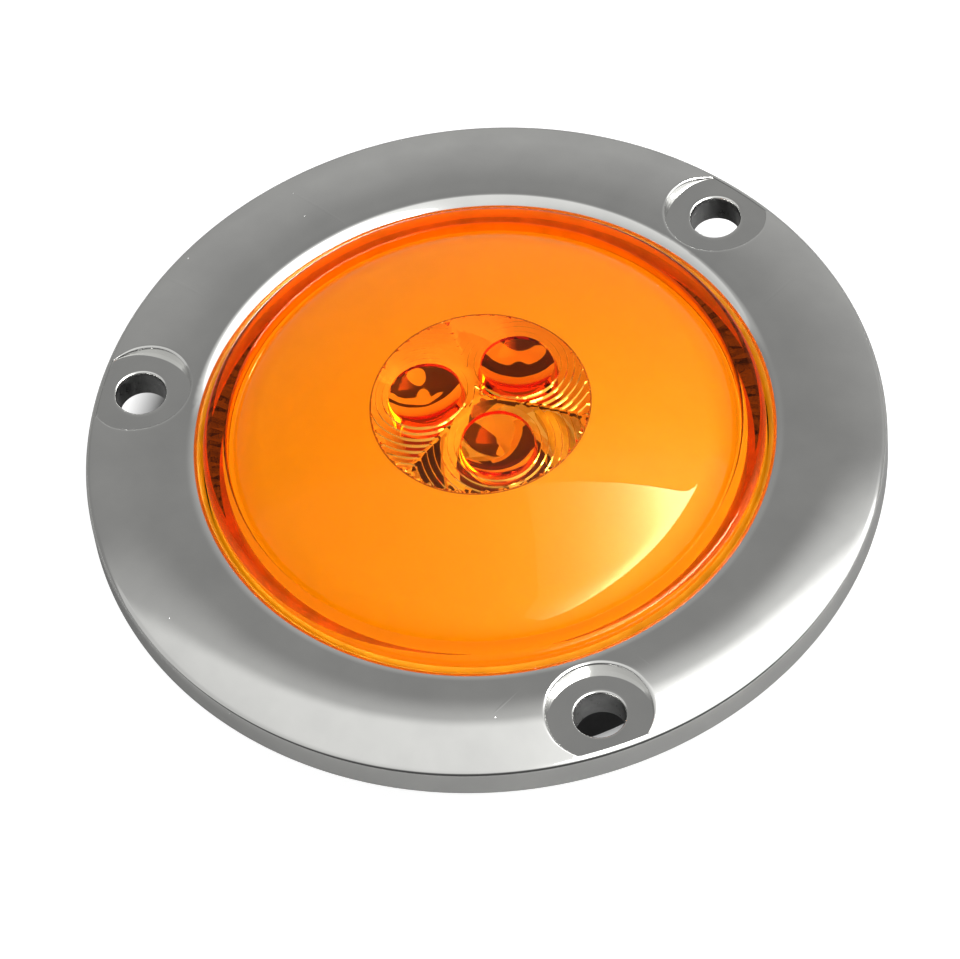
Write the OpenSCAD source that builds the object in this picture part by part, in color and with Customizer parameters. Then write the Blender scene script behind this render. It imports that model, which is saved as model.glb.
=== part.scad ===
// Round amber signal lamp for a trailer, with a chromed flange held by three screws.
// Millimetres. The origin is the centre of the flange's back, on the panel that it is screwed to.
// +Z points out through the lens, and +Y points to the first screw hole.

/* [Flange] */
// Outer diameter of the chromed flange
flange_d = 86; // [84:0.5:90]
// Height of the flange's crest above the panel
crest_h = 4.9; // [4.6:0.1:5.4]
// Radius of the circle along which the crest runs
crest_r = 34; // [33.6:0.1:34.4]
// Radius of the long outward slope, seen in section
slope_round = 29; // [27:0.5:40]
// Radius of the rounding that falls from the flange's flat land to the lens
inner_round = 1.9; // [1.6:0.1:2.3]
// Radius of the corner at the top of the upright edge
corner_round = 0.9; // [0.5:0.1:1.2]
// Width of the upright edge where it stands on the panel
edge_w = 1.8; // [1.4:0.1:2]

/* [Mounting screws] */
// Number of mounting holes
screw_count = 3; // [3:1:3]
// Diameter of the circle through the mounting holes
bolt_circle_d = 76.2; // [75.4:0.1:76.6]
// Diameter of a mounting hole
hole_d = 5.4; // [4.8:0.1:5.6]
// Diameter of the counterbore for the screw head
counterbore_d = 11; // [10:0.1:11.6]
// Height of the counterbore's seat above the panel
seat_h = 3.6; // [3.2:0.1:3.8]

/* [Lens] */
// Outer diameter of the lens
lens_d = 60.4; // [60:0.1:60.4]
// Height of the dome's top above the panel
dome_h = 11.8; // [11:0.1:13]
// Radius of the dome's middle
dome_round = 62; // [56:1:70]
// Radius of the dome's shoulder
shoulder_round = 8; // [7:0.5:9]
// Angle from the lens axis at which the shoulder begins
shoulder_turn = 22.9; // [22.6:0.1:23.2]
// Height of the lens's raised rim above the panel
rim_h = 5.4; // [5.2:0.1:5.8]
// Width of the lens's raised rim
rim_w = 2.7; // [2.5:0.1:2.8]
// Thickness of the dome
lens_wall = 2.2; // [1.8:0.1:2.4]

/* [Optics] */
// Diameter of the round field that holds the three moulded optics
optic_field_d = 23.6; // [22.6:0.1:24]
// Distance from the lens axis to the middle of an optic, and to an LED
optic_pitch = 5.5; // [5.3:0.1:5.7]
// Diameter of the plain bulging lens in the middle of an optic
bull_d = 8; // [7:0.1:8.2]
// Radius of the bulging lens's surface
bull_round = 8; // [7:0.5:12]
// Distance from one prism ring to the next
prism_step = 1.4; // [1.2:0.1:1.6]
// Depth of the groove between prism rings
prism_depth = 0.4; // [0.2:0.1:0.5]

/* [Housing] */
// Diameter of the part that fits the panel's cut-out
body_d = 63; // [62.8:0.1:63.2]
// How far the housing reaches behind the panel
body_depth = 15; // [14.8:0.1:16]
// Wall thickness of the cup
cup_wall = 2; // [1.8:0.1:2.2]
// Thickness of the foam gasket in the flange's back
gasket_t = 0.8; // [0.6:0.1:0.9]

/* [Socket] */
// Length of the recess that takes the plug
socket_l = 20; // [19:0.5:21]
// Width of the recess that takes the plug
socket_w = 11; // [10:0.5:12]
// Distance between the two contact pins
pin_pitch = 11; // [10:0.5:12]
// Diameter of a contact pin
pin_d = 4; // [3:0.1:4]

/* [Hidden] */
$fn = 96;

// Gap between pieces that lie against one another, and a cutter's overshoot
gap = 0.05;
over = 1;

// Directions of the mounting holes and of the three places between them
hole_turns = [for (i = [0 : screw_count - 1]) 90 + i * 360 / screw_count];
between_turns = [for (a = hole_turns) a - 60];

// Flange
flange_r = flange_d / 2;
under_h = 1.8;
slope_z = crest_h - slope_round;
corner_x = flange_r - corner_round;
corner_z = slope_z + sqrt(pow(slope_round - corner_round, 2) - pow(corner_x - crest_r, 2));
corner_touch_x = crest_r + (corner_x - crest_r) * slope_round / (slope_round - corner_round);
lens_play = 0.15;
inner_r = lens_d / 2 + lens_play;
land_r = inner_r + inner_round;
boss_r = 4.4;
bolt_circle_r = bolt_circle_d / 2;
hole_chamfer = 0.25;

// Lens
lens_r = lens_d / 2;
lens_foot = -1.5;
rim_in = lens_r - rim_w;
rim_out_round = 0.9;
rim_in_round = 0.4;
dome_z = dome_h - dome_round;
shoulder_x = (dome_round - shoulder_round) * sin(shoulder_turn);
shoulder_z = dome_z + (dome_round - shoulder_round) * cos(shoulder_turn);
groove_w = 0.3;
dome_edge = rim_in - groove_w;
groove_floor = 4.2;
lens_inside_r = 28.2;
lens_inside_top = 2.6;
field_face = 7.6;
bull_bulge = bull_round - sqrt(pow(bull_round, 2) - pow(bull_d / 2, 2));

// Small lugs that key the lens in the flange: direction of each, width, reach and height
lug_turns = [209, 56];
lug_w = 2;
lug_reach = 0.7;
lug_top = 3;

// Housing
body_r = body_d / 2;
neck_depth = 6;
cup_r = 29;
cup_in = cup_r - cup_wall;
flange_fit_r = flange_r - edge_w - 0.3;
mouth_r = lens_r + gap;
seat_in_r = 28.6;
seal_t = 0.8;
shoulder_inside = -4.2;
cup_floor = -body_depth + cup_wall;
clear_boss_r = boss_r + 0.2;
gasket_play = 1.2;

// Board, its posts and its screws
board_top = -5;
board_t = 1.6;
board_bottom = board_top - board_t;
board_r = cup_in - 0.6;
post_pitch = 21.5;
post_r = 2.8;
leg_pitch = 15;
small_screw_r = 0.95;
small_hole_r = small_screw_r + gap;
bezel_screw_pitch = 36.5;

// Socket and pins
socket_y = -13;
socket_roof = -9.3;
socket_roof_t = 1.4;
socket_wall = 2;
pin_tip = -body_depth + 0.8;
pin_collar_r = pin_d / 2 + 0.6;
pin_collar_t = 0.6;
pin_shank_r = 1;
pin_places = [[-pin_pitch / 2, socket_y], [pin_pitch / 2, socket_y]];

// Potting
potting_top = -8.6;

// Reflector
reflector_floor = -1;
reflector_t = 1.2;
reflector_top = 2.2;
led_cup_r = 4.4;
led_cup_foot_r = 2.9;
led_cup_mouth_r = 4;

// LED
led_w = 3.5;
led_h = 0.9;
led_dome_r = 1.5;

// Puts its children at a distance from the axis in a given direction, turned to face outwards
module polar(turn, distance) {
  rotate([0, 0, turn])
    translate([distance, 0, 0])
      children();
}

// A slot-shaped plate, longer along X
module stadium(length, width, height) {
  straight = length - width;
  for (side = [-1, 1])
    translate([side * straight / 2, 0, 0])
      cylinder(d = width, h = height);
  translate([-straight / 2, -width / 2, 0])
    cube([straight, width, height]);
}

// Half section of the flange above its flat underside, with the upright edge down to the panel
module bezel_section() {
  intersection() {
    translate([crest_r, slope_z])
      circle(r = slope_round);
    translate([crest_r, under_h])
      square([corner_touch_x - crest_r, crest_h]);
  }
  intersection() {
    translate([land_r, crest_h - inner_round])
      circle(r = inner_round);
    translate([inner_r, under_h])
      square([inner_round, crest_h]);
  }
  translate([inner_r, under_h])
    square([inner_round, crest_h - inner_round - under_h]);
  translate([land_r, under_h])
    square([crest_r - land_r, crest_h - under_h]);
  translate([corner_x, corner_z])
    circle(r = corner_round);
  translate([flange_r - edge_w, 0])
    square([edge_w, corner_z]);
}

// The chromed flange ring with its three counterbored bosses
module flange_bezel() {
  color("silver")
    difference() {
      union() {
        rotate_extrude()
          bezel_section();
        intersection() {
          for (a = hole_turns)
            polar(a, bolt_circle_r)
              cylinder(r = boss_r, h = under_h + 0.2);
          cylinder(r = flange_r - edge_w / 2, h = under_h + 0.2);
        }
      }
      for (a = hole_turns)
        polar(a, bolt_circle_r) {
          translate([0, 0, -over])
            cylinder(d = hole_d, h = crest_h + 2 * over);
          translate([0, 0, seat_h])
            cylinder(d = counterbore_d, h = crest_h);
          translate([0, 0, seat_h - hole_chamfer])
            cylinder(r1 = hole_d / 2, r2 = hole_d / 2 + hole_chamfer, h = hole_chamfer);
        }
      for (a = between_turns)
        polar(a, bezel_screw_pitch)
          translate([0, 0, under_h - over])
            cylinder(r = small_hole_r, h = 2.4 + over);
      for (a = lug_turns)
        polar(a, lens_r)
          translate([-over, -lug_w / 2 - gap, under_h - over])
            cube([over + lug_reach + gap, lug_w + 2 * gap, lug_top - under_h + over + gap]);
    }
}

// Half section of the dome's outside: a wide middle and a tighter shoulder
module dome_section(inset) {
  reach = shoulder_x + (shoulder_round - inset) * sin(shoulder_turn);
  intersection() {
    translate([0, dome_z])
      circle(r = dome_round - inset, $fn = 240);
    square([reach, dome_h]);
  }
  intersection() {
    translate([shoulder_x, shoulder_z])
      circle(r = shoulder_round - inset);
    translate([reach, 0])
      square([dome_edge - reach, dome_h]);
  }
}

// Half section of the raised rim that stands around the dome
module rim_section() {
  translate([rim_in, lens_foot])
    square([rim_w, rim_h - rim_out_round - lens_foot]);
  translate([lens_r - rim_out_round, rim_h - rim_out_round])
    circle(r = rim_out_round);
  translate([rim_in + rim_in_round, rim_h - rim_out_round])
    square([rim_w - rim_in_round - rim_out_round, rim_out_round]);
  translate([rim_in + rim_in_round, rim_h - rim_in_round])
    circle(r = rim_in_round);
  translate([rim_in, rim_h - rim_out_round])
    square([rim_in_round, rim_out_round - rim_in_round]);
}

// Half section of the whole lens shell
module lens_section() {
  difference() {
    union() {
      dome_section(0);
      rim_section();
      translate([dome_edge - 0.2, 0])
        square([groove_w + 0.4, groove_floor]);
    }
    dome_section(lens_wall);
    translate([0, lens_foot - over])
      square([lens_inside_r, lens_inside_top - lens_foot + over]);
  }
}

// The third of the optic field that belongs to one optic
module optic_sector(turn) {
  rotate([0, 0, turn])
    linear_extrude(height = 4, center = true)
      polygon([[0, 0], [20 * cos(60), -20 * sin(60)], [30, 0], [20 * cos(60), 20 * sin(60)]]);
}

// Grooves between the prism rings around one optic, cut into the flat face of the field
module prism_grooves(turn) {
  intersection() {
    polar(turn, optic_pitch)
      rotate_extrude()
        for (r = [bull_d / 2 + prism_step / 2 : prism_step : optic_field_d / 2 - 2])
          translate([r, 0])
            polygon([[0, -0.1], [0, prism_depth], [prism_step * 0.6, -0.1]]);
    optic_sector(turn);
    cylinder(d = optic_field_d - 0.8, h = 4, center = true);
  }
}

// The amber lens, with three bull's-eye optics moulded into the inside of its dome
module lens() {
  color("darkorange") {
    rotate_extrude()
      lens_section();
    difference() {
      translate([0, 0, field_face])
        cylinder(d = optic_field_d, h = 2);
      translate([0, 0, field_face])
        for (a = hole_turns)
          prism_grooves(a);
    }
    for (a = hole_turns)
      polar(a, optic_pitch)
        intersection() {
          translate([0, 0, field_face - bull_bulge + bull_round])
            sphere(r = bull_round);
          translate([0, 0, field_face - 2])
            cylinder(d = bull_d, h = 3);
        }
    for (a = lug_turns)
      polar(a, lens_r)
        translate([-0.5, -lug_w / 2, under_h])
          cube([0.5 + lug_reach, lug_w, lug_top - under_h]);
  }
}

// Rubber ring between the lens's foot and the housing
module lens_seal() {
  color("dimgray")
    translate([0, 0, lens_foot - seal_t])
      difference() {
        cylinder(r = mouth_r - gap, h = seal_t);
        translate([0, 0, -over])
          cylinder(r = seat_in_r + 0.2, h = seal_t + 2 * over);
      }
}

// Half section of the cup with its mouth, shoulder and thin back flange
module housing_section() {
  bevel = 0.6;
  polygon([
    [0, -body_depth], [cup_r - bevel, -body_depth], [cup_r, -body_depth + bevel],
    [cup_r, -neck_depth], [body_r - bevel, -neck_depth], [body_r, -neck_depth + bevel],
    [body_r, gasket_t], [flange_fit_r, gasket_t], [flange_fit_r, under_h],
    [mouth_r, under_h], [mouth_r, lens_foot - seal_t], [seat_in_r, lens_foot - seal_t],
    [seat_in_r, shoulder_inside], [cup_in, shoulder_inside], [cup_in, cup_floor],
    [0, cup_floor]
  ]);
}

// The black cup behind the panel, with board posts and the plug's socket
module housing() {
  color("#28282a")
    difference() {
      union() {
        rotate_extrude()
          housing_section();
        for (a = hole_turns)
          polar(a, post_pitch)
            translate([0, 0, cup_floor - 0.2])
              cylinder(r = post_r, h = board_bottom - cup_floor + 0.2);
        translate([0, socket_y, cup_floor - 0.2])
          stadium(
            socket_l + 2 * socket_wall,
            socket_w + 2 * socket_wall,
            socket_roof + socket_roof_t - cup_floor + 0.2
          );
      }
      for (a = hole_turns)
        polar(a, bolt_circle_r)
          translate([0, 0, -over])
            cylinder(r = clear_boss_r, h = 3 * over + 1);
      for (a = hole_turns)
        polar(a, post_pitch)
          translate([0, 0, board_bottom - 4])
            cylinder(r = small_hole_r, h = 5);
      for (a = between_turns)
        polar(a, bezel_screw_pitch) {
          cylinder(r = small_hole_r + 0.1, h = 3);
          translate([0, 0, gasket_t])
            cylinder(r1 = 1.9 + gap, r2 = small_screw_r + gap, h = 0.9);
        }
      difference() {
        translate([0, socket_y, -body_depth - over])
          stadium(socket_l, socket_w, socket_roof + body_depth + over);
        translate([-1, socket_y + socket_w / 2 - 1, -body_depth - over])
          cube([2, 2, socket_roof + body_depth + over]);
      }
      for (p = pin_places)
        translate([p[0], p[1], socket_roof - over])
          cylinder(r = pin_shank_r + gap, h = socket_roof_t + 2 * over);
    }
}

// Foam gasket that lies in the flange's back, cut out around the bosses
module mounting_gasket() {
  color("#1c1c1c")
    difference() {
      cylinder(r = flange_fit_r, h = gasket_t);
      translate([0, 0, -over])
        cylinder(r = body_r + gasket_play, h = gasket_t + 2 * over);
      for (a = hole_turns)
        polar(a, bolt_circle_r)
          translate([0, 0, -over])
            cylinder(r = clear_boss_r, h = gasket_t + 2 * over);
    }
}

// Cross recess that a screwdriver fits, cut downwards from the screw head's top
module cross_recess(depth) {
  for (a = [0, 90])
    rotate([0, 0, a])
      translate([-1, -0.2, -depth])
        cube([2, 0.4, depth + over]);
}

// Three countersunk screws that hold the housing in the flange from behind
module bezel_screws() {
  color("gray")
    for (a = between_turns)
      polar(a, bezel_screw_pitch)
        difference() {
          union() {
            translate([0, 0, gasket_t])
              cylinder(r1 = 1.9, r2 = small_screw_r, h = 0.85);
            translate([0, 0, gasket_t])
              cylinder(r = small_screw_r, h = 3);
          }
          translate([0, 0, gasket_t])
            mirror([0, 0, 1])
              cross_recess(0.5);
        }
}

// White dish around the LEDs, with a cup for each one
module reflector() {
  color("whitesmoke")
    difference() {
      union() {
        rotate_extrude()
          polygon([
            [0, reflector_floor - reflector_t], [25.6, reflector_floor - reflector_t],
            [lens_inside_r - 0.2, reflector_floor + 2], [lens_inside_r - 0.2, reflector_top],
            [lens_inside_r - 0.9, reflector_top], [25, reflector_floor], [0, reflector_floor]
          ]);
        for (a = hole_turns)
          polar(a, optic_pitch)
            translate([0, 0, board_top])
              cylinder(r = led_cup_r, h = reflector_floor - board_top - 0.2);
        for (a = between_turns)
          polar(a, leg_pitch)
            translate([0, 0, board_top])
              cylinder(r = 1.5, h = reflector_floor - board_top - 0.2);
      }
      for (a = hole_turns)
        polar(a, optic_pitch)
          translate([0, 0, board_top])
            cylinder(r1 = led_cup_foot_r, r2 = led_cup_mouth_r, h = reflector_floor - board_top);
    }
}

// Round circuit board with holes for its screws and for the contact pins
module circuit_board() {
  color("darkgreen")
    translate([0, 0, board_bottom])
      difference() {
        cylinder(r = board_r, h = board_t);
        for (a = hole_turns)
          polar(a, post_pitch)
            translate([0, 0, -over])
              cylinder(r = small_hole_r + 0.15, h = board_t + 2 * over);
        for (p = pin_places)
          translate([p[0], p[1], -over])
            cylinder(r = pin_shank_r + gap, h = board_t + 2 * over);
      }
}

// Three pan-head screws that hold the board on its posts
module board_screws() {
  color("silver")
    for (a = hole_turns)
      polar(a, post_pitch)
        difference() {
          union() {
            translate([0, 0, board_top])
              cylinder(r = 2, h = 0.9);
            translate([0, 0, board_top + 0.9])
              cylinder(r1 = 2, r2 = 1.5, h = 0.5);
            translate([0, 0, board_top - 5])
              cylinder(r = small_screw_r, h = 5.2);
          }
          translate([0, 0, board_top + 1.4])
            cross_recess(0.7);
        }
}

// Square LED package with its two solder ends
module led_package(i) {
  color("ivory")
    polar(hole_turns[i], optic_pitch)
      translate([-led_w / 2, -led_w / 2, board_top])
        cube([led_w, led_w, led_h]);
}

// Clear silicone dome on an LED
module led_dome(i) {
  color("khaki")
    polar(hole_turns[i], optic_pitch)
      translate([0, 0, board_top + led_h])
        intersection() {
          sphere(r = led_dome_r);
          cylinder(r = led_dome_r + over, h = led_dome_r + over);
        }
}

// Surface-mounted block with a metal end wrapped round each end, centred on its place
module chip(turn, distance, length, width, height, end) {
  polar(turn, distance)
    translate([-width / 2, -length / 2, board_top])
      cube([width, length, height]);
  for (side = [-1, 1])
    polar(turn, distance)
      translate([-width / 2 - 0.05, side * (length / 2 - end / 2) - end / 2 - 0.02, board_top])
        cube([width + 0.1, end + 0.04, height + 0.05]);
}

// Moulded two-lead part with flat tabs at its ends, centred on its place
module tabbed(turn, distance, length, width, height) {
  polar(turn, distance) {
    translate([-width / 2, -length / 2, board_top + 0.1])
      cube([width, length, height]);
    translate([-width / 4, -length / 2 - 0.6, board_top])
      cube([width / 2, length + 1.2, 0.3]);
    for (side = [-1, 1])
      translate([-width / 4, side * (length / 2 + 0.1) - 0.1, board_top])
        cube([width / 2, 0.2, height * 0.55]);
  }
}

// Regulator that feeds the LEDs, with four bent leads along each side
module driver_chip() {
  color("#202022")
    polar(0, 17) {
      translate([-2, -2.5, board_top + 0.15])
        cube([4, 5, 1.45]);
      for (side = [-1, 1])
        for (row = [-1.5 : 1 : 1.5]) {
          lead_w = 0.42;
          translate([side * 2.55 - 0.6, row * 1.27 - lead_w / 2, board_top])
            cube([1.2, lead_w, 0.2]);
          translate([side * 2.2 - 0.25, row * 1.27 - lead_w / 2, board_top])
            cube([0.5, lead_w, 0.9]);
        }
    }
}

// Diode against reversed polarity
module rectifier_diode() {
  color("#242424")
    tabbed(180, 17, 4.3, 2.6, 2);
}

// Surge suppressor
module surge_suppressor() {
  color("#242424")
    tabbed(60, 17, 4.6, 3.6, 2.2);
}

// Smoothing capacitors
module capacitor_1() {
  color("tan")
    chip(120, 17, 3.2, 1.6, 1.5, 0.5);
}
module capacitor_2() {
  color("tan")
    chip(300, 20, 3.2, 1.6, 1.5, 0.5);
}

// One resistor for each LED, on the board's outer part
module resistor(i) {
  color("#1a1a1a")
    chip(i * 120, 22.5, 3.2, 1.6, 0.6, 0.5);
}

// Male contact pin, from its free end in the socket up to the board
module contact_pin(i) {
  tip_bevel = 0.5;
  color("goldenrod")
    translate([pin_places[i][0], pin_places[i][1], 0]) {
      translate([0, 0, pin_tip])
        cylinder(r1 = pin_d / 2 - tip_bevel, r2 = pin_d / 2, h = tip_bevel);
      translate([0, 0, pin_tip + tip_bevel])
        cylinder(d = pin_d, h = socket_roof - pin_tip - tip_bevel);
      translate([0, 0, socket_roof - pin_collar_t])
        cylinder(r = pin_collar_r, h = pin_collar_t);
      translate([0, 0, socket_roof - 0.2])
        cylinder(r = pin_shank_r, h = board_top + 0.8 - socket_roof + 0.2);
    }
}

// Resin that seals the cup's floor around the socket and the posts
module potting() {
  color("#111111")
    difference() {
      translate([0, 0, cup_floor])
        cylinder(r = cup_in - gap, h = potting_top - cup_floor);
      translate([0, socket_y, cup_floor - over])
        stadium(
          socket_l + 2 * socket_wall + 2 * gap,
          socket_w + 2 * socket_wall + 2 * gap,
          potting_top - cup_floor + 2 * over
        );
      for (a = hole_turns)
        polar(a, post_pitch)
          translate([0, 0, cup_floor - over])
            cylinder(r = post_r + gap, h = potting_top - cup_floor + 2 * over);
    }
}

flange_bezel();
lens();
lens_seal();
housing();
mounting_gasket();
bezel_screws();
reflector();
circuit_board();
board_screws();
led_package(0);  // led_1
led_package(1);  // led_2
led_package(2);  // led_3
led_dome(0);  // led_dome_1
led_dome(1);  // led_dome_2
led_dome(2);  // led_dome_3
driver_chip();
rectifier_diode();
surge_suppressor();
capacitor_1();
capacitor_2();
resistor(0);  // resistor_1
resistor(1);  // resistor_2
resistor(2);  // resistor_3
contact_pin(0);  // contact_pin_1
contact_pin(1);  // contact_pin_2
potting();
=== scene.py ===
"""Looks of the round amber signal lamp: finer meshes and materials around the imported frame."""
import math

import bmesh
import bpy
from mathutils import Matrix, Vector
from mathutils.geometry import delaunay_2d_cdt


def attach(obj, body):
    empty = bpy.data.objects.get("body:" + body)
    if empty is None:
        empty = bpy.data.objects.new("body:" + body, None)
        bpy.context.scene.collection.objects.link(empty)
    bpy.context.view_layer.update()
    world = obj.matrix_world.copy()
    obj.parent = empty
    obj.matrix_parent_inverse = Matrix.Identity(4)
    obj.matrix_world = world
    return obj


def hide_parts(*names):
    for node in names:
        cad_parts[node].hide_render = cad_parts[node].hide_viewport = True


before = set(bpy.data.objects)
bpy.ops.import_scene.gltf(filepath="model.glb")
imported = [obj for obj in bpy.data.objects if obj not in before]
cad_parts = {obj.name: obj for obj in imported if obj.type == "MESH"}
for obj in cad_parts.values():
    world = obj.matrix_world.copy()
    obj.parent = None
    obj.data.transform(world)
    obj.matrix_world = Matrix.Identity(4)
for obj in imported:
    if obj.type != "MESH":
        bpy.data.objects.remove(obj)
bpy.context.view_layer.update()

# Lengths are millimetres in the frame of the part, and MM turns them into metres.
MM = 0.001
HOLE_TURNS = (90, 210, 330)

# Flange
FLANGE_R = 43.0
CREST_R, CREST_H = 34.0, 4.9
INNER_R = 30.35
SLOPE_ROUND, INNER_ROUND, CORNER_ROUND = 29.0, 1.95, 0.9
EDGE_W = 1.8
UNDER_H = 1.8
HOLE_PITCH, HOLE_R = 38.1, 2.7
COUNTERBORE_R, SEAT_H = 5.5, 3.6
BOSS_R = 4.4

# Lens
LENS_R = 30.2
LENS_FOOT = -1.5
DOME_H, DOME_ROUND, SHOULDER_ROUND, SHOULDER_TURN = 11.8, 62.0, 8.0, 22.9
RIM_H, RIM_IN, RIM_FOOT, GROOVE_Z = 5.4, 27.5, 4.5, 4.2
RIM_ROUND_IN, RIM_ROUND_OUT = 0.4, 0.9
SIDE_TOP, SIDE_FOOT = 4.3, 1.5
LENS_WALL = 2.2
LENS_INSIDE_R, LENS_INSIDE_TOP = 28.2, 2.6
# FIELD_LINE is the width of a dark line of painted shade round the optic field
FIELD_R, FIELD_LINE = 11.5, 0.14
OPTIC_PITCH, BULL_R = 5.9, 3.8
BULL_WALL, BULL_ROUND, BULGE, WALL_SLANT = 0.85, 7.0, 0.8, 0.05
PRISM_STEP, PRISM_DEPTH, PRISM_LEAN = 0.72, 0.24, 0.9
CLOSE = 1e-3

# Reflector: the heights between which its wells are painted dark as shade, and dark rings and spots, each
# repeated at every third of a turn, as (distance from the axis, turn, inner radius, outer radius)
WELL_SHADE = (-4.4, -1.5)
MARKS = [
    (10.4, 171.6, 0.3, 0.85),
    (12.2, 115.5, 0.0, 0.74),
    (1.43, 101.0, 0.0, 0.6),
    (6.2, 112.7, 0.0, 0.8),
]

# Floor: the underside of the housing, and the middle and radii of the shade under the lamp
FLOOR_Z = -15.0
SHADE_AWAY, SHADE_RIGHT = 10.0, -1.0
SHADE_INNER, SHADE_OUTER = 37.3, 41.0

# Camera: the photograph's angle
VIEW_AZIMUTH, VIEW_ELEVATION, VIEW_ROLL = 47.6, 53.75, -7.18
VIEW_DISTANCE, VIEW_LENS = 583.0, 203.4
VIEW_SHIFT = (-0.0073, -0.0248)


# ---------------------------------------------------------------- mesh tools

def polar(radius, turn, z=0.0):
    """A point at a radius and a turn in degrees."""
    a = math.radians(turn)
    return (radius * math.cos(a), radius * math.sin(a), z)


def arc(centre_r, centre_z, radius, start, end, steps):
    """Points of a round stretch of a section, from start to end in degrees."""
    turns = [start + (end - start) * i / steps for i in range(steps + 1)]
    return [
        (centre_r + radius * math.cos(math.radians(t)), centre_z + radius * math.sin(math.radians(t)))
        for t in turns
    ]


def finish_mesh(name, points, faces, materials, indices=None, sharp=35, merge=0.0):
    """Makes an object from millimetre points, with smooth faces and sharp edges over an angle."""
    mesh = bpy.data.meshes.new(name)
    mesh.from_pydata([tuple(c * MM for c in p) for p in points], [], faces)
    for m in materials:
        mesh.materials.append(m)
    if indices is not None:
        mesh.polygons.foreach_set("material_index", indices)
    if merge:
        work = bmesh.new()
        work.from_mesh(mesh)
        bmesh.ops.remove_doubles(work, verts=work.verts, dist=merge * MM)
        bmesh.ops.dissolve_degenerate(work, edges=work.edges, dist=merge * MM)
        bmesh.ops.recalc_face_normals(work, faces=work.faces)
        work.to_mesh(mesh)
        work.free()
    mesh.shade_smooth()
    mesh.set_sharp_from_angle(angle=math.radians(sharp))
    piece = bpy.data.objects.new(name, mesh)
    bpy.context.scene.collection.objects.link(piece)
    return piece


def lathe(stretches, steps):
    """Points, faces and slot numbers of an open section turned about Z.

    A stretch is a list of (r, z) points and a slot. Each stretch starts where the last one ended.
    """
    section, slots = [], []
    for stretch, slot in stretches:
        for i, p in enumerate(stretch):
            if section and i == 0 and math.dist(section[-1], p) < 1e-6:
                continue
            if section:
                slots.append(slot)
            section.append(p)
    points, rows = [], []
    for r, z in section:
        if r < 1e-6:
            rows.append([len(points)] * steps)
            points.append((0.0, 0.0, z))
            continue
        rows.append(list(range(len(points), len(points) + steps)))
        for k in range(steps):
            a = 2 * math.pi * k / steps
            points.append((r * math.cos(a), r * math.sin(a), z))
    faces, indices = [], []
    for i, slot in enumerate(slots):
        low, high = rows[i], rows[i + 1]
        for k in range(steps):
            n = (k + 1) % steps
            corners = []
            for v in (low[k], low[n], high[n], high[k]):
                if v not in corners:
                    corners.append(v)
            if len(corners) > 2:
                faces.append(corners)
                indices.append(slot)
    return points, faces, indices


def circle(centre_x, centre_y, radius, steps):
    """Points round a circle in the plane."""
    turns = [2 * math.pi * k / steps for k in range(steps)]
    return [(centre_x + radius * math.cos(a), centre_y + radius * math.sin(a)) for a in turns]


def sheet(loops, height, keep, flip=False):
    """A triangulated sheet through loops of plane points, lifted to height(x, y).

    A loop is a list of points and a function that says which of them to use; its neighbours stay joined.
    """
    points, edges = [], []
    for loop, wanted in loops:
        places = []
        for p in loop:
            if wanted(*p):
                places.append(len(points))
                points.append(Vector(p))
            else:
                places.append(None)
        for i, a in enumerate(places):
            b = places[(i + 1) % len(places)]
            if a is not None and b is not None:
                edges.append((a, b))
    flat, _, triangles, *_ = delaunay_2d_cdt(points, edges, [], 0, 1e-7)
    faces = []
    for t in triangles:
        middle = sum((flat[i] for i in t), Vector((0.0, 0.0))) / 3
        if keep(*middle):
            faces.append(list(reversed(t)) if flip else list(t))
    return [(p.x, p.y, height(p.x, p.y)) for p in flat], faces


def strip(low, high):
    """Quads between two closed loops of points that have the same number of points."""
    n = len(low)
    points = list(low) + list(high)
    faces = [[k, (k + 1) % n, n + (k + 1) % n, n + k] for k in range(n)]
    return points, faces


def joined(parts):
    """Several (points, faces) pairs as one."""
    points, faces = [], []
    for p, f in parts:
        base = len(points)
        points += p
        faces += [[i + base for i in face] for face in f]
    return points, faces


def place(piece, slot, *nodes):
    """Makes a piece ride on the lamp and stand for its CAD nodes."""
    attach(piece, "root")
    if nodes:
        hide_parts(*nodes)
    return piece


# ---------------------------------------------------------------- materials

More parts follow.
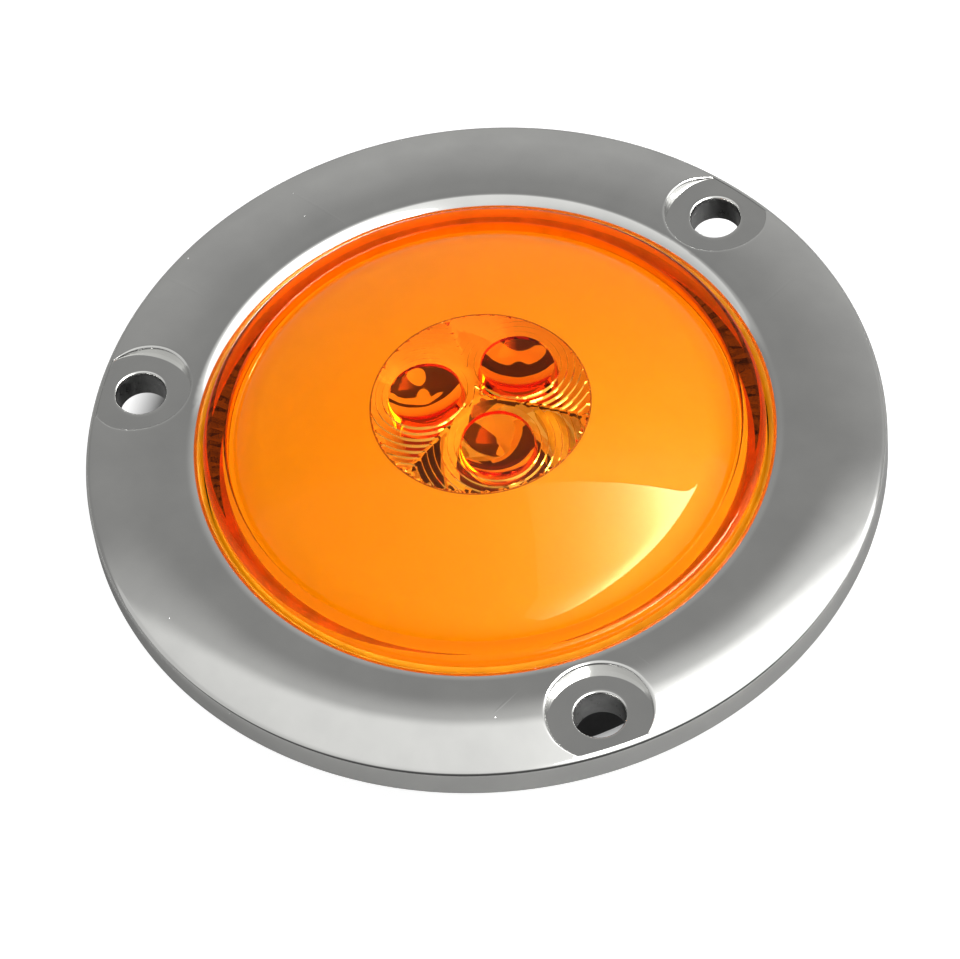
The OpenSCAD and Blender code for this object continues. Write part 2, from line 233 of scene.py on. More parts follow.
class Shader:
    """A material with one Principled shader and short ways to add nodes to it."""

    def __init__(self, name, **sockets):
        self.material = bpy.data.materials.new(name)
        self.material.use_nodes = True
        self.tree = self.material.node_tree
        self.main = self.tree.nodes["Principled BSDF"]
        for key, value in sockets.items():
            self.main.inputs[key.replace("_", " ")].default_value = value
        self.coords = self.tree.nodes.new("ShaderNodeTexCoord").outputs["Object"]

    def node(self, kind, inputs=(), **settings):
        """Adds a node, sets its properties, and fills its inputs with values or other outputs."""
        made = self.tree.nodes.new("ShaderNode" + kind)
        for key, value in settings.items():
            setattr(made, key, value)
        for key, value in dict(inputs).items():
            self.fill(made.inputs[key], value)
        return made

    def fill(self, socket, value):
        if isinstance(value, bpy.types.NodeSocket):
            self.tree.links.new(value, socket)
        else:
            socket.default_value = value

    def noise(self, scale, detail=4.0, roughness=0.55, stretch=(1, 1, 1)):
        """Noise over the piece, with scale in features per millimetre."""
        mapped = self.node("Mapping", {"Vector": self.coords, "Scale": tuple(s / MM for s in stretch)})
        made = self.node(
            "TexNoise",
            {"Vector": mapped.outputs[0], "Scale": scale, "Detail": detail, "Roughness": roughness},
        )
        return made.outputs["Fac"]

    def ramp(self, value, stops):
        """A colour ramp with stops of (place, colour)."""
        made = self.node("ValToRGB", {"Fac": value})
        band = made.color_ramp
        while len(band.elements) < len(stops):
            band.elements.new(0.5)
        for element, (at, colour) in zip(band.elements, stops):
            element.position = at
            element.color = colour if len(colour) == 4 else (*colour, 1)
        return made.outputs["Color"]

    def span(self, value, low, high, to_low, to_high):
        """Maps a value from one range to another."""
        made = self.node(
            "MapRange",
            {"Value": value, "From Min": low, "From Max": high, "To Min": to_low, "To Max": to_high},
        )
        return made.outputs["Result"]

    def math(self, operation, a, b=0.0):
        return self.node("Math", {0: a, 1: b}, operation=operation).outputs[0]

    def bump(self, height, strength, distance):
        """Feeds the normal with bumps, with distance in millimetres."""
        made = self.node("Bump", {"Height": height, "Strength": strength, "Distance": distance * MM})
        before = self.main.inputs["Normal"]
        if before.is_linked:
            self.tree.links.new(before.links[0].from_socket, made.inputs["Normal"])
        self.tree.links.new(made.outputs["Normal"], before)
        return made

    def set(self, name, value):
        self.fill(self.main.inputs[name], value)


def moulded(name, dark, light, rough, grain=0.02, size=3.0, glow=None):
    """Moulded plastic: a faint mottle, uneven gloss and a fine grain, and a painted glow if glow is given.
    """
    s = Shader(name)
    if glow:
        s.set("Emission Color", (*glow, 1.0))
        s.set("Emission Strength", 1.0)
    s.set("Base Color", s.ramp(s.noise(0.25), [(0.3, dark), (0.7, light)]))
    s.set("Roughness", s.span(s.noise(0.6), 0.3, 0.7, rough - 0.06, rough + 0.06))
    s.bump(s.noise(size, 3), 0.5, grain)
    return s.material


def plated(name, colour, rough, grain=0.01):
    """Plated or turned metal with fine marks."""
    s = Shader(name, Metallic=1.0)
    dark = tuple(c * 0.8 for c in colour)
    s.set("Base Color", s.ramp(s.noise(0.8), [(0.3, dark), (0.7, colour)]))
    s.set("Roughness", s.span(s.noise(1.5), 0.3, 0.7, rough * 0.7, rough * 1.3))
    s.bump(s.noise(4, 3), 0.3, grain)
    return s.material


def chrome_material():
    """Bright plating: almost a mirror, with faint waviness, dust and hairline marks."""
    s = Shader("chrome", Metallic=1.0)
    dust = s.node("TexVoronoi", {"Vector": s.coords, "Scale": 0.42 / MM}, feature="F1")
    speck = s.math("LESS_THAN", dust.outputs["Distance"], 0.03)
    chosen = s.math("GREATER_THAN", dust.outputs["Color"], 0.72)
    dusty = s.math("MULTIPLY", speck, chosen)
    tone = s.ramp(s.noise(0.12, 3), [(0.3, (0.70, 0.70, 0.69)), (0.7, (0.78, 0.78, 0.765))])
    mixed = s.node("Mix", {"Factor": dusty, "A": tone, "B": (1.0, 1.0, 1.0, 1.0)}, data_type="RGBA")
    s.set("Base Color", mixed.outputs["Result"])
    polish = s.span(s.noise(0.5), 0.3, 0.7, 0.035, 0.075)
    s.set("Roughness", s.math("MAXIMUM", polish, s.math("MULTIPLY", dusty, 0.6)))
    s.bump(s.noise(0.09, 2), 0.25, 0.05)
    s.bump(s.noise(1.2, 3), 0.12, 0.004)
    for stretch in ((0.05, 1.6, 0.4), (1.1, 0.07, 0.4)):
        line = s.span(s.noise(0.9, 1, 0.4, stretch), 0.76, 0.79, 0.0, 1.0)
        s.bump(line, 0.5, 0.006)
    return s.material


def amber_material():
    """Clear amber plastic. It casts no shadow, so what is inside is lit, and its depth colours it."""
    s = Shader("amber", Transmission_Weight=1.0, IOR=1.58)
    s.set("Specular Tint", (1.0, 0.27, 0.13, 1.0))
    s.set("Base Color", (1.0, 1.0, 1.0, 1.0))
    s.set("Roughness", s.span(s.noise(0.7), 0.3, 0.7, 0.01, 0.03))
    s.bump(s.noise(0.16, 2), 0.1, 0.03)
    clear = s.node("BsdfTransparent", {"Color": (1.0, 1.0, 1.0, 1.0)})
    path = s.node("LightPath")
    both = s.node("MixShader", {0: path.outputs["Is Shadow Ray"]})
    s.tree.links.new(s.main.outputs[0], both.inputs[1])
    s.tree.links.new(clear.outputs[0], both.inputs[2])
    out = s.tree.nodes["Material Output"]
    s.tree.links.new(both.outputs[0], out.inputs["Surface"])
    depth = s.node("VolumeAbsorption", {"Color": (1.0, 0.71, 0.02, 1.0), "Density": 0.62 / MM})
    s.tree.links.new(depth.outputs[0], out.inputs["Volume"])
    return s.material


def board_material():
    """Solder mask with tracks under it and a fine weave."""
    s = Shader("solder_mask", Specular_IOR_Level=0.5)
    tracks = s.node("TexBrick", {"Vector": s.coords, "Scale": 0.35 / MM, "Mortar Size": 0.03})
    tones = [(0.4, (0.66, 0.5, 0.3)), (0.6, (0.6, 0.44, 0.26))]
    s.set("Base Color", s.ramp(tracks.outputs["Fac"], tones))
    s.set("Roughness", s.span(s.noise(1.0), 0.3, 0.7, 0.2, 0.35))
    s.bump(tracks.outputs["Fac"], 0.4, 0.03)
    return s.material


def foam_material():
    """Closed-cell foam with small pits."""
    s = Shader("foam")
    cells = s.node("TexVoronoi", {"Vector": s.coords, "Scale": 1.6 / MM}, feature="F1")
    pits = [(0.1, (0.008, 0.008, 0.008)), (0.6, (0.03, 0.03, 0.03))]
    s.set("Base Color", s.ramp(cells.outputs["Distance"], pits))
    s.set("Roughness", s.span(s.noise(1.0), 0.3, 0.7, 0.8, 0.95))
    s.bump(cells.outputs["Distance"], 0.8, 0.12)
    return s.material


def reflector_material():
    """White plastic, tinted orange and glowing as painted amber light, with painted shade deep in the wells
    round the LEDs, and dark on small rings and spots.
    """
    s = Shader("white_plastic", Specular_IOR_Level=0.2)
    parts = s.node("SeparateXYZ", {0: s.coords}).outputs
    flat = s.node("CombineXYZ", {"X": parts["X"], "Y": parts["Y"]}).outputs[0]
    radius = s.node("VectorMath", {0: flat}, operation="LENGTH").outputs["Value"]
    turn = s.math("ARCTAN2", parts["Y"], parts["X"])
    third = math.radians(120)

    def from_mark(mark_r, mark_turn):
        """Distance from the nearest of three marks, a third of a turn apart."""
        t = s.math("FLOORED_MODULO", s.math("SUBTRACT", turn, math.radians(mark_turn) - third / 2), third)
        t = s.math("SUBTRACT", t, third / 2)
        x = s.math("SUBTRACT", s.math("MULTIPLY", radius, s.math("COSINE", t)), mark_r * MM)
        y = s.math("MULTIPLY", radius, s.math("SINE", t))
        offset = s.node("CombineXYZ", {"X": x, "Y": y}).outputs[0]
        return s.node("VectorMath", {0: offset}, operation="LENGTH").outputs["Value"]

    shade_foot, shade_top = WELL_SHADE
    below_top = s.math("LESS_THAN", parts["Z"], shade_top * MM)
    dark = s.math("MULTIPLY", below_top, s.math("GREATER_THAN", parts["Z"], shade_foot * MM))
    for mark_r, mark_turn, inner, outer in MARKS:
        d = from_mark(mark_r, mark_turn)
        ring = s.math("MULTIPLY", s.math("LESS_THAN", d, outer * MM), s.math("GREATER_THAN", d, inner * MM))
        dark = s.math("MAXIMUM", dark, ring)
    # An orange tone in place of white is painted amber light; the wells turn dark as painted shade, and the
    # rings and spots are dark too
    tone = s.ramp(s.noise(0.25), [(0.3, (0.7, 0.4, 0.14)), (0.7, (0.74, 0.43, 0.15))])
    mixed = s.node("Mix", {"Factor": dark, "A": tone, "B": (0.03, 0.006, 0.001, 1.0)}, data_type="RGBA")
    s.set("Base Color", mixed.outputs["Result"])
    # A painted orange glow, faint where the plastic is dark
    s.set("Emission Color", (1.0, 0.42, 0.02, 1.0))
    s.set("Emission Strength", s.span(dark, 0.0, 1.0, 0.24, 0.015))
    s.set("Roughness", s.span(s.noise(0.6), 0.3, 0.7, 0.45, 0.55))
    s.bump(s.noise(3.0, 3), 0.5, 0.01)
    return s.material


CHROME = chrome_material()
AMBER = amber_material()
# The lens's inner frosting, with a painted orange glow standing in for light through the amber
FROSTED_AMBER_GLOW = moulded(
    "frosted_amber_glow", (0.34, 0.185, 0.0), (0.37, 0.2, 0.0), 0.5, grain=0.03, size=2.2, glow=(0.48, 0.23, 0.0)
)
# Foot and inside wall of the lens, with a painted orange glow standing in for light through the rim
AMBER_FOOT_GLOW = moulded(
    "amber_foot_glow", (0.36, 0.14, 0.01), (0.76, 0.36, 0.02), 0.4, grain=0.05, size=1.2, glow=(0.21, 0.1, 0.0)
)
# Outer side of the lens rim, with a painted orange glow standing in for light through the rim
RIM_SIDE_GLOW = moulded(
    "amber_side_glow", (0.5, 0.17, 0.01), (0.82, 0.34, 0.02), 0.35, grain=0.03, size=1.2, glow=(0.38, 0.135, 0.0)
)
# Bore walls painted dull dark grey: painted shade inside the holes
SHADED_BORE = plated("shaded_bore", (0.3, 0.3, 0.3), 0.35, 0.02)
# A dark ring round the optic field: painted shade where the field's edge wall darkens the view
FIELD_EDGE_SHADE = moulded("field_edge_shade", (0.2, 0.05, 0.0), (0.3, 0.08, 0.0), 0.4)
BLACK = moulded("black_plastic", (0.011, 0.011, 0.012), (0.02, 0.02, 0.021), 0.42)
WHITE_WITH_AMBER_GLOW = reflector_material()
RUBBER = moulded("rubber", (0.012, 0.012, 0.012), (0.03, 0.03, 0.03), 0.7, 0.03)
FOAM = foam_material()
ZINC = plated("zinc", (0.62, 0.62, 0.64), 0.3)
BRASS = plated("brass", (0.83, 0.62, 0.28), 0.22)
BOARD = board_material()
CERAMIC = moulded("led_ceramic", (0.75, 0.73, 0.66), (0.85, 0.83, 0.76), 0.4, 0.005)
EPOXY = moulded("epoxy", (0.008, 0.008, 0.009), (0.015, 0.015, 0.016), 0.12, 0.05, 0.3)
CHIP = moulded("chip_plastic", (0.012, 0.012, 0.013), (0.025, 0.025, 0.026), 0.5, 0.01, 8.0)
TAN = moulded("capacitor_body", (0.36, 0.22, 0.11), (0.46, 0.3, 0.17), 0.35, 0.01, 6.0)
RESISTOR = moulded("resistor_body", (0.01, 0.01, 0.01), (0.02, 0.02, 0.022), 0.3, 0.01, 6.0)


def silicone_material():
    """Yellow phosphor under clear silicone."""
    s = Shader("silicone", Coat_Weight=0.6, Coat_Roughness=0.05)
    s.set("Base Color", s.ramp(s.noise(2.0), [(0.3, (0.85, 0.62, 0.08)), (0.7, (0.95, 0.75, 0.15))]))
    s.set("Roughness", s.span(s.noise(1.5), 0.3, 0.7, 0.25, 0.35))
    s.bump(s.noise(6, 3), 0.3, 0.01)
    return s.material


SILICONE = silicone_material()


# ---------------------------------------------------------------- flange

LAND_R = INNER_R + INNER_ROUND


def flange_height(r):
    """Height of the flange's face at a radius, up to where its corner starts to fall."""
    if r < LAND_R:
        return CREST_H - INNER_ROUND + math.sqrt(max(0.0, INNER_ROUND ** 2 - (LAND_R - r) ** 2))
    if r < CREST_R:
        return CREST_H
    return CREST_H - SLOPE_ROUND + math.sqrt(SLOPE_ROUND ** 2 - (r - CREST_R) ** 2)


CORNER_R = FLANGE_R - CORNER_ROUND
CORNER_Z = (
    CREST_H - SLOPE_ROUND
    + math.sqrt((SLOPE_ROUND - CORNER_ROUND) ** 2 - (CORNER_R - CREST_R) ** 2)
)
CORNER_TOUCH = CREST_R + (CORNER_R - CREST_R) * SLOPE_ROUND / (SLOPE_ROUND - CORNER_ROUND)
HOLES = [polar(HOLE_PITCH, t)[:2] for t in HOLE_TURNS]
HOLE_STEPS = 144
HOLE_CHAMFER = 0.28
WALL_FOOT = COUNTERBORE_R - 0.04
LIP_ROUND = 0.35
FOOT_BEVEL = 0.25
FLANGE_STEPS = 540


def nearest_hole(x, y):
    return min(math.dist((x, y), h) for h in HOLES)


def face_height(x, y):
    """Height of the flange's face, with its counterbores and the rounded lips round them."""
    z = flange_height(math.hypot(x, y))
    d = nearest_hole(x, y)
    step = z - SEAT_H
    if d < HOLE_R + HOLE_CHAMFER:
        fall = HOLE_CHAMFER - math.sqrt(max(0.0, HOLE_CHAMFER ** 2 - (HOLE_R + HOLE_CHAMFER - d) ** 2))
        return SEAT_H - fall
    if d <= WALL_FOOT + 1e-4:
        return min(SEAT_H, z)
    if step <= 0:
        return z
    lip = min(LIP_ROUND, 0.6 * step)
    if d < COUNTERBORE_R - 1e-4:
        return SEAT_H + (step - lip) * (d - WALL_FOOT) / (COUNTERBORE_R - WALL_FOOT)
    if d < COUNTERBORE_R + lip:
        return z - lip + math.sqrt(max(0.0, lip ** 2 - (COUNTERBORE_R + lip - d) ** 2))
    return z


def under_height(x, y):
    """Height of the flange's back: bosses and edge on the panel, and a flat field between them."""
    on_boss = nearest_hole(x, y) < BOSS_R + 0.01
    on_edge = math.hypot(x, y) > FLANGE_R - EDGE_W - 0.01
    return 0.0 if on_boss or on_edge else UNDER_H


def flange_loops(rows, rings, reach, outer):
    """Circles about the axis, broken near the holes, and circles about each hole."""
    first, last = rows[0], rows[-1]
    loops = []
    for r in rows:
        clear = (lambda x, y: True) if r in (first, last) else (lambda x, y: nearest_hole(x, y) > reach)
        loops.append((circle(0, 0, r, FLANGE_STEPS), clear))
    for x0, y0 in HOLES:
        for d in rings:
            loops.append((circle(x0, y0, d, HOLE_STEPS), lambda x, y: math.hypot(x, y) < outer))
    return loops


def build_flange():
    """The chromed ring as one closed shell, with its bores painted dull dark grey as shade inside the
    holes.
    """
    rows = [LAND_R - INNER_ROUND * math.cos(math.radians(90 * i / 16)) for i in range(17)]
    rows += [33.0, CREST_R]
    count = 14
    rows += [CREST_R + (CORNER_TOUCH - CREST_R) * i / count for i in range(1, count + 1)]
    rings = [HOLE_R + HOLE_CHAMFER * i / 4 for i in range(5)] + [3.3, 3.8, 4.4, 4.9, 5.2, 5.38]
    rings += [WALL_FOOT, COUNTERBORE_R]
    rings += [COUNTERBORE_R + LIP_ROUND * s for s in (0.04, 0.12, 0.24, 0.4, 0.6, 0.8, 1.0)]
    rings += [6.05, 6.35]
    top = sheet(
        flange_loops(rows, rings, 6.6, CORNER_TOUCH - 0.12),
        face_height,
        lambda x, y: INNER_R < math.hypot(x, y) < CORNER_TOUCH and nearest_hole(x, y) > HOLE_R,
    )
    inside = FLANGE_R - EDGE_W
    foot_r = FLANGE_R - FOOT_BEVEL
    under_rows = [INNER_R, 33, 37, inside - 0.04, inside, foot_r]
    under = sheet(
        flange_loops(under_rows, [HOLE_R, BOSS_R, BOSS_R + 0.04], 4.9, inside - 0.05),
        under_height,
        lambda x, y: INNER_R < math.hypot(x, y) < foot_r and nearest_hole(x, y) > HOLE_R,
        flip=True,
    )
    touch_turn = math.degrees(math.acos((CORNER_TOUCH - CORNER_R) / CORNER_ROUND))
    edge = arc(CORNER_R, CORNER_Z, CORNER_ROUND, touch_turn, 0, 12)
    edge[0] = (CORNER_TOUCH, flange_height(CORNER_TOUCH))
    edge += [(FLANGE_R, CORNER_Z * (1 - i / 4)) for i in range(1, 4)]
    edge += arc(foot_r, FOOT_BEVEL, FOOT_BEVEL, 0, -90, 4)
    outside = lathe([(edge, 0)], FLANGE_STEPS)[:2]
    inner = lathe([([(INNER_R, UNDER_H), (INNER_R, flange_height(INNER_R))], 0)], FLANGE_STEPS)[:2]
    parts = [top, under, outside, inner]
    plated_faces = sum(len(faces) for _, faces in parts)
    for x0, y0 in HOLES:
        ring = circle(x0, y0, HOLE_R, HOLE_STEPS)
        levels = [0.0, 1.1, 2.2, face_height(x0 + HOLE_R, y0)]
        for low, high in zip(levels, levels[1:]):
            parts.append(strip([(x, y, low) for x, y in ring], [(x, y, high) for x, y in ring]))
    points, faces = joined(parts)
    indices = [0 if i < plated_faces else 1 for i in range(len(faces))]
    piece = finish_mesh("flange", points, faces, [CHROME, SHADED_BORE], indices, sharp=50, merge=0.002)
    return place(piece, "chrome_plating", "flange_bezel")


# ---------------------------------------------------------------- lens

SHOULDER_R = (DOME_ROUND - SHOULDER_ROUND) * math.sin(math.radians(SHOULDER_TURN))
SHOULDER_Z = DOME_H - DOME_ROUND + (DOME_ROUND - SHOULDER_ROUND) * math.cos(math.radians(SHOULDER_TURN))
OPTICS = [polar(OPTIC_PITCH, t)[:2] for t in HOLE_TURNS]


def dome_height(r, inset=0.0):
    """Height of the dome's outside, or of a shell inset below it."""
    if r < SHOULDER_R + (SHOULDER_ROUND - inset) * math.sin(math.radians(SHOULDER_TURN)):
        return DOME_H - DOME_ROUND + math.sqrt((DOME_ROUND - inset) ** 2 - r * r)
    return SHOULDER_Z + math.sqrt((SHOULDER_ROUND - inset) ** 2 - (r - SHOULDER_R) ** 2)


def optic_height(x, y):
    """Height of the optic field's underside: a bulging lens with a wall, then prism rings."""
    d = min(math.dist((x, y), o) for o in OPTICS)
    face = dome_height(math.hypot(x, y), LENS_WALL) - PRISM_DEPTH / 2
    if d < BULL_R + CLOSE:
        crown = math.sqrt(BULL_ROUND ** 2 - min(d, BULL_R) ** 2)
        return face - BULL_WALL - BULGE * (crown - math.sqrt(BULL_ROUND ** 2 - BULL_R ** 2))
    if d < BULL_R + WALL_SLANT - CLOSE:
        return face - BULL_WALL * (1 - (d - BULL_R) / WALL_SLANT)
    ring = (d - BULL_R - WALL_SLANT) / PRISM_STEP
    part = max(0.0, ring - math.floor(ring + CLOSE))
    if math.hypot(x, y) > FIELD_R - 0.02:
        return face + PRISM_DEPTH / 2
    return face + PRISM_DEPTH * (part / PRISM_LEAN if part < PRISM_LEAN else (1 - part) / (1 - PRISM_LEAN))


def build_lens():
    """The amber lens as one closed shell: polished above, with a frosting inside and clear optics. The
    frosting, the foot and the outer side glow with painted light.
    """
    turn_steps = 256
    # The inside, foot and side slots glow with painted light, and the line slot is a dark line of painted
    # shade
    polished, frosted_glow, foot_glow, line, side = 0, 1, 2, 3, 4
    meet = SHOULDER_R + SHOULDER_ROUND * math.sin(math.radians(SHOULDER_TURN))
    dome_edge = RIM_IN - 0.3
    middle = [(meet * i / 36, dome_height(meet * i / 36)) for i in range(37)]
    start = 90 - SHOULDER_TURN
    stop = math.degrees(math.acos((dome_edge - SHOULDER_R) / SHOULDER_ROUND))
    shoulder = arc(SHOULDER_R, SHOULDER_Z, SHOULDER_ROUND, start, stop, 14)
    groove = [shoulder[-1], (dome_edge + 0.02, GROOVE_Z + 0.08), (dome_edge + 0.09, GROOVE_Z)]
    groove += [(RIM_IN - 0.09, GROOVE_Z), (RIM_IN - 0.01, GROOVE_Z + 0.08), (RIM_IN, RIM_FOOT)]
    rim = arc(RIM_IN + RIM_ROUND_IN, RIM_H - RIM_ROUND_IN, RIM_ROUND_IN, 180, 90, 6)
    rim += arc(LENS_R - RIM_ROUND_OUT, RIM_H - RIM_ROUND_OUT, RIM_ROUND_OUT, 90, 0, 12)
    wall = [(LENS_R, RIM_FOOT), (LENS_R, SIDE_TOP)]
    outer = [wall[-1], (LENS_R, SIDE_FOOT)]
    foot = [outer[-1], (LENS_R, LENS_FOOT + 0.1), (LENS_R - 0.1, LENS_FOOT)]
    foot += [(LENS_INSIDE_R + 0.1, LENS_FOOT), (LENS_INSIDE_R, LENS_FOOT + 0.1)]
    inside = [foot[-1], (LENS_INSIDE_R, 1.0), (LENS_INSIDE_R, LENS_INSIDE_TOP)]
    inset_round = SHOULDER_ROUND - LENS_WALL
    cut = math.asin((LENS_INSIDE_TOP - SHOULDER_Z) / inset_round)
    inner_shoulder = arc(SHOULDER_R, SHOULDER_Z, inset_round, math.degrees(cut), start, 10)
    inner_meet = inner_shoulder[-1][0]
    inner_rows = [inner_meet + (FIELD_R - inner_meet) * i / 12 for i in range(1, 13)]
    inner_dome = [(r, dome_height(r, LENS_WALL)) for r in inner_rows]
    # The last ring inside is the dark line of painted shade at the field's edge
    ring_in = inner_dome[-1]
    inner_dome[-1] = (FIELD_R + FIELD_LINE, dome_height(FIELD_R + FIELD_LINE, LENS_WALL))
    shell = lathe(
        [
            (middle, polished), (shoulder, polished), (groove, polished), (rim, polished), (wall, polished),
            (outer, side), (foot, foot_glow), (inside, foot_glow), ([inside[-1], inner_shoulder[0]], frosted_glow),
            (inner_shoulder, frosted_glow), (inner_dome, frosted_glow), ([inner_dome[-1], ring_in], line),
        ],
        turn_steps,
    )
    rings = [0.7, 1.4, 2.1, 2.8, 3.4, BULL_R, BULL_R + WALL_SLANT]
    ring = BULL_R + WALL_SLANT
    while ring < FIELD_R + OPTIC_PITCH:
        rings += [ring + PRISM_STEP * 0.5, ring + PRISM_STEP * PRISM_LEAN, ring + PRISM_STEP]
        ring += PRISM_STEP
    loops = [(circle(0, 0, FIELD_R, turn_steps), lambda x, y: True)]
    loops.append((circle(0, 0, FIELD_R - 0.04, turn_steps), lambda x, y: True))
    for own in OPTICS:
        def mine(x, y, own=own):
            nearest = min(math.dist((x, y), o) for o in OPTICS)
            return math.hypot(x, y) < FIELD_R - 0.1 and math.dist((x, y), own) < nearest + 0.02
        for d in rings:
            loops.append((circle(*own, d, 120), mine))
    loops.append(([(0.001, 0.001)], lambda x, y: True))
    field = sheet(loops, optic_height, lambda x, y: math.hypot(x, y) < FIELD_R)
    base = len(shell[0])
    points = shell[0] + field[0]
    faces = shell[1] + [[i + base for i in f] for f in field[1]]
    indices = shell[2] + [polished] * len(field[1])
    materials = [AMBER, FROSTED_AMBER_GLOW, AMBER_FOOT_GLOW, FIELD_EDGE_SHADE, RIM_SIDE_GLOW]
    piece = finish_mesh("lens_shell", points, faces, materials, indices, sharp=32, merge=0.002)
    return place(piece, "amber_lens", "lens")


# ---------------------------------------------------------------- CAD pieces that keep their shape

def dress_nodes():
    """Materials for the CAD nodes that stay as they are."""
    looks = {
        "lens_seal": RUBBER, "housing": BLACK, "mounting_gasket": FOAM, "bezel_screws": ZINC,
        "reflector": WHITE_WITH_AMBER_GLOW, "circuit_board": BOARD, "board_screws": ZINC,
        "driver_chip": CHIP, "rectifier_diode": CHIP, "surge_suppressor": CHIP,
        "capacitor_1": TAN, "capacitor_2": TAN, "resistor_1": RESISTOR, "resistor_2": RESISTOR,
        "resistor_3": RESISTOR, "contact_pin_1": BRASS, "contact_pin_2": BRASS, "potting": EPOXY,
    }
    for i in (1, 2, 3):
        looks[f"led_{i}"] = CERAMIC
        looks[f"led_dome_{i}"] = SILICONE
    for name, material in looks.items():
        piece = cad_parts[name]
        for slot in piece.material_slots:
            slot.material = material


# ---------------------------------------------------------------- stage, light and camera

def camera_axes(azimuth):
    """The directions to the right and away from a camera at an azimuth."""
    a = math.radians(azimuth)
    return Vector((math.cos(a), math.sin(a), 0)), Vector((-math.sin(a), math.cos(a), 0))


RIGHT, AWAY = camera_axes(VIEW_AZIMUTH)


def build_floor():
    """A plain pale floor. It glows for the camera, so that the shadow stays faint.

    From below it can't be seen, and it lets the room's light through to the lamp's back.
    """
    s = Shader("floor", Roughness=0.8)
    s.set("Base Color", s.ramp(s.noise(0.01), [(0.3, (0.35, 0.35, 0.35)), (0.7, (0.38, 0.38, 0.38))]))
    middle = tuple((AWAY * SHADE_AWAY + RIGHT * SHADE_RIGHT + Vector((0, 0, FLOOR_Z))) * MM)
    away = s.node("VectorMath", {0: s.coords, 1: middle}, operation="DISTANCE").outputs["Value"]
    power = s.span(away, SHADE_INNER * MM, SHADE_OUTER * MM, 0.0, 1.0)
    glow = s.node("Emission", {"Color": (0.9, 0.9, 0.9, 1.0), "Strength": power})
    bright = s.node("AddShader", {0: s.main.outputs[0], 1: glow.outputs[0]})
    path = s.node("LightPath")
    camera_ray = path.outputs["Is Camera Ray"]
    seen = s.node("MixShader", {0: camera_ray, 1: s.main.outputs[0], 2: bright.outputs[0]})
    under = s.node("NewGeometry").outputs["Backfacing"]
    soft = s.math("MAXIMUM", path.outputs["Is Diffuse Ray"], path.outputs["Is Shadow Ray"])
    unseen = s.math("MAXIMUM", under, soft)
    clear = s.node("BsdfTransparent")
    both = s.node("MixShader", {0: unseen, 1: seen.outputs[0], 2: clear.outputs[0]})
    s.tree.links.new(both.outputs[0], s.tree.nodes["Material Output"].inputs["Surface"])
    half, z = 4000.0, FLOOR_Z - 0.1
    corners = [(-half, -half, z), (half, -half, z), (half, half, z), (-half, half, z)]
    finish_mesh("floor", corners, [[0, 1, 2, 3]], [s.material])


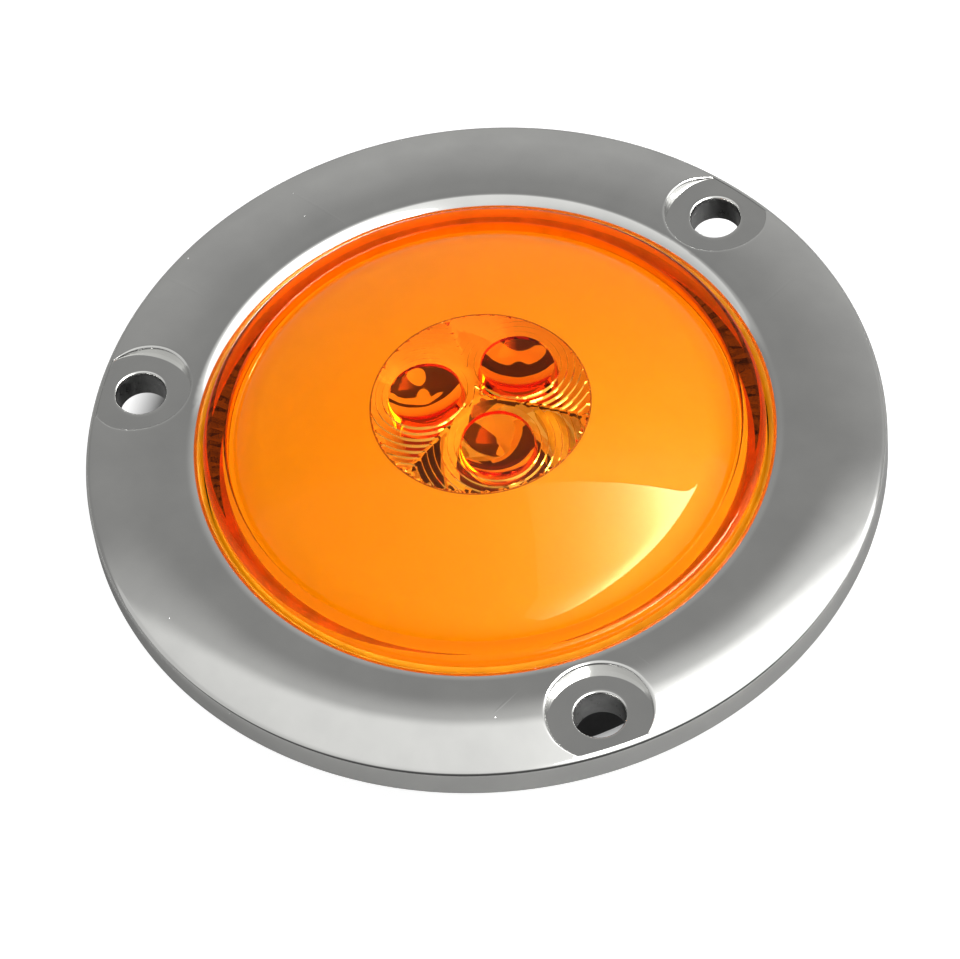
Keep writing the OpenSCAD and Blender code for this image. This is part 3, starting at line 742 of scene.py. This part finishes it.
def build_world():
    """A grey room with a broad bright panel overhead and towards the camera, pale to the camera itself."""
    world = bpy.data.worlds.new("studio")
    bpy.context.scene.world = world
    world.use_nodes = True
    tree = world.node_tree
    nodes, links = tree.nodes, tree.links
    back = nodes["Background"]

    def math_node(operation, a, b=0.0):
        made = nodes.new("ShaderNodeMath")
        made.operation = operation
        for socket, value in zip(made.inputs, (a, b)):
            if isinstance(value, (int, float)):
                socket.default_value = value
            else:
                links.new(value, socket)
        return made.outputs[0]

    def along(direction):
        made = nodes.new("ShaderNodeVectorMath")
        made.operation = "DOT_PRODUCT"
        links.new(coords, made.inputs[0])
        made.inputs[1].default_value = direction
        return made.outputs["Value"]

    def ramp(value, stops):
        made = nodes.new("ShaderNodeValToRGB")
        links.new(value, made.inputs[0])
        band = made.color_ramp
        while len(band.elements) < len(stops):
            band.elements.new(0.5)
        for element, (at, level) in zip(band.elements, stops):
            element.position = at
            element.color = (level, level, level * 0.985, 1)
        return made.outputs[0]

    coords = nodes.new("ShaderNodeTexCoord").outputs["Generated"]
    across, away, up = along(RIGHT), along(AWAY), along((0, 0, 1))
    lowest, corner_x, corner_y, slant = 0.04, 0.15, 0.29, 0.2
    lift = math_node("MAXIMUM", up, lowest)
    # A place on a ceiling one unit overhead, to the right of the lamp and away from the camera.
    plan_x, plan_y = math_node("DIVIDE", across, lift), math_node("DIVIDE", away, lift)
    # The panel's far edge has a corner, and slants away from the camera on both sides of it.
    bend = math_node("ABSOLUTE", math_node("SUBTRACT", plan_x, corner_x))
    edge = math_node("ADD", math_node("MULTIPLY", bend, slant), corner_y)
    inside = math_node("SUBTRACT", edge, plan_y)

    def smooth(value, low, high):
        made = nodes.new("ShaderNodeMapRange")
        made.interpolation_type = "SMOOTHSTEP"
        links.new(value, made.inputs["Value"])
        made.inputs["From Min"].default_value, made.inputs["From Max"].default_value = low, high
        return made.outputs[0]

    lit = math_node(
        "ADD",
        math_node("MULTIPLY", smooth(inside, -0.32, -0.04), 0.42),
        math_node("MULTIPLY", smooth(inside, -0.09, 0.01), 0.58),
    )
    along_panel = math_node("ADD", math_node("MULTIPLY", plan_x, 0.25), 0.5)
    panel = ramp(along_panel, [(0.2, 0.66), (0.33, 0.76), (0.5, 0.97), (0.57, 1.6)])
    far_room = ramp(up, [(0.0, 0.42), (0.45, 0.45), (0.65, 0.38), (0.8, 0.29)])
    left_room = ramp(up, [(0.0, 0.29), (1.0, 0.29)])
    side = nodes.new("ShaderNodeMix")
    side.data_type = "RGBA"
    links.new(math_node("ADD", math_node("MULTIPLY", across, 1.6), 1.1), side.inputs["Factor"])
    links.new(left_room, side.inputs["A"])
    links.new(far_room, side.inputs["B"])
    room = side.outputs["Result"]
    seen = nodes.new("ShaderNodeMix")
    seen.data_type = "RGBA"
    links.new(lit, seen.inputs["Factor"])
    links.new(room, seen.inputs["A"])
    links.new(panel, seen.inputs["B"])
    dim = nodes.new("ShaderNodeMix")
    dim.data_type = "RGBA"
    links.new(smooth(plan_y, -2.2, -0.95), dim.inputs["Factor"])
    dim.inputs["A"].default_value = (0.09, 0.09, 0.09, 1)
    links.new(seen.outputs["Result"], dim.inputs["B"])
    links.new(dim.outputs["Result"], back.inputs["Color"])
    plain = nodes.new("ShaderNodeBackground")
    plain.inputs["Color"].default_value = (0.9, 0.9, 0.9, 1)
    mix = nodes.new("ShaderNodeMixShader")
    links.new(nodes.new("ShaderNodeLightPath").outputs["Is Camera Ray"], mix.inputs[0])
    links.new(back.outputs[0], mix.inputs[1])
    links.new(plain.outputs[0], mix.inputs[2])
    links.new(mix.outputs[0], nodes["World Output"].inputs["Surface"])


def build_softbox():
    """The small softbox that shows in the dome, overhead on the right, and brighter towards its right."""
    height = 700.0
    # Over the lamp the panel's power is start. One height to the right it is growth times that, up to most.
    growth, start, most = 210.0, 1.3, 48.0
    corners = [(0.12, 0.22), (1.07, 0.28), (0.87, -0.15), (0.7, -0.49), (0.47, -0.95), (0.28, -1.12)]
    corners += [(0.1, -0.8), (0.13, 0.0)]
    points = [tuple((RIGHT * x + AWAY * y) * height + Vector((0, 0, height))) for x, y in corners]
    s = Shader("softbox")
    lean = tuple((RIGHT - AWAY * 0.05) / (height * MM))
    across = s.node("VectorMath", {0: s.coords, 1: lean}, operation="DOT_PRODUCT").outputs["Value"]
    power = s.math("MINIMUM", s.math("MULTIPLY", s.math("POWER", growth, across), start), most)
    glow = s.node("Emission", {"Strength": power, "Color": (1.0, 1.0, 0.98, 1.0)})
    s.tree.links.new(glow.outputs[0], s.tree.nodes["Material Output"].inputs["Surface"])
    panel = finish_mesh("softbox", points, [list(range(len(points)))], [s.material])
    panel.visible_camera = False
    panel.visible_diffuse = False


def build_camera():
    """The camera at the photograph's angle."""
    data = bpy.data.cameras.new("camera")
    data.lens, data.sensor_width = VIEW_LENS, 36.0
    data.shift_x, data.shift_y = VIEW_SHIFT
    data.clip_start, data.clip_end = 0.01, 50.0
    cam = bpy.data.objects.new("camera", data)
    bpy.context.scene.collection.objects.link(cam)
    e, roll = math.radians(VIEW_ELEVATION), math.radians(VIEW_ROLL)
    back = -AWAY * math.cos(e) + Vector((0, 0, 1)) * math.sin(e)
    level_up = back.cross(RIGHT)
    side = RIGHT * math.cos(roll) + level_up * math.sin(roll)
    up = level_up * math.cos(roll) - RIGHT * math.sin(roll)
    turned = Matrix((side, up, back)).transposed().to_4x4()
    cam.matrix_world = Matrix.Translation(back * VIEW_DISTANCE * MM) @ turned
    bpy.context.scene.camera = cam


# ---------------------------------------------------------------- scene

build_floor()
build_world()
build_softbox()
build_camera()
build_flange()
build_lens()
dress_nodes()

view = bpy.context.scene.view_settings
view.view_transform = "Standard"
view.look = "None"
